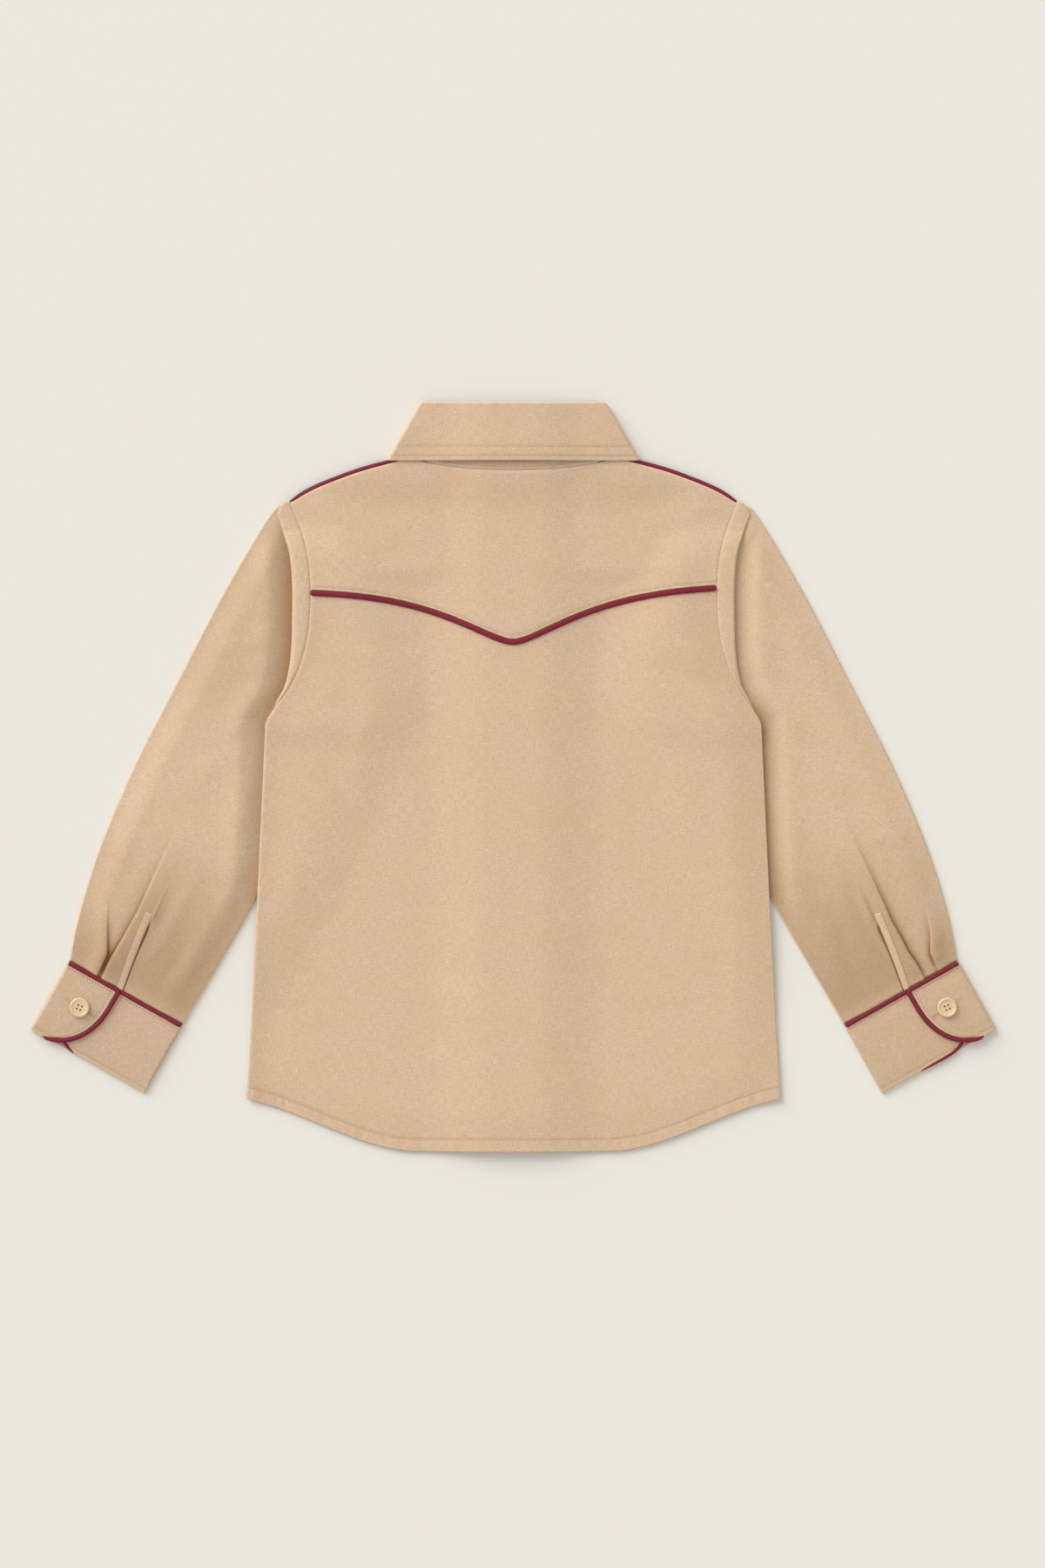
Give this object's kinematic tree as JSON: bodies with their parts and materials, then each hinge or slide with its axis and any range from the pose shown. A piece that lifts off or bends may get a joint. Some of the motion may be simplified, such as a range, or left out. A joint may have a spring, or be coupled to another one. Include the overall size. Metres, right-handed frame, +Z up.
{
  "type": "western shirt",
  "caption": "Child's long-sleeved shirt with a pointed back yoke, piped seams and buttoned cuffs, buttoned up and laid flat face down.",
  "frame": {"origin": "centre of the shirt's outline as it lies, on the surface it lies on", "axes": "+Z up from the surface through the fronts to the back, +Y towards the collar, +X towards the wearer's right sleeve"},
  "size_m": [0.6668, 0.5168, 0.0092],
  "materials": {
    "cloth": "plain-woven tan cotton with slight slubs",
    "cuff_cloth": "the same tan cotton, interlined, slightly darker",
    "piping": "dark red bias piping",
    "button": "cream, slightly glossy"
  },
  "bodies": {
    "root": {"back_panel": "cloth", "back_yoke": "cloth", "front_placket": "cloth", "collar_leaf": "cloth", "collar_stand": "cloth", "front_left": "cloth", "sleeve_left": "cloth", "sleeve_placket_left": "cloth", "front_right": "cloth", "sleeve_right": "cloth", "sleeve_placket_right": "cloth", "cuff_left": "cuff_cloth", "cuff_right": "cuff_cloth", "yoke_piping": "piping", "shoulder_piping_left": "piping", "cuff_flap_piping_left": "piping", "cuff_band_piping_left": "piping", "cuff_underlap_piping_left": "piping", "shoulder_piping_right": "piping", "cuff_flap_piping_right": "piping", "cuff_band_piping_right": "piping", "cuff_underlap_piping_right": "piping", "cuff_button_left": "button", "cuff_button_right": "button", "collar_button": "button", "front_button_1": "button", "front_button_2": "button", "front_button_3": "button", "front_button_4": "button", "front_button_5": "button", "front_button_6": "button"}
  },
  "joints": []
}
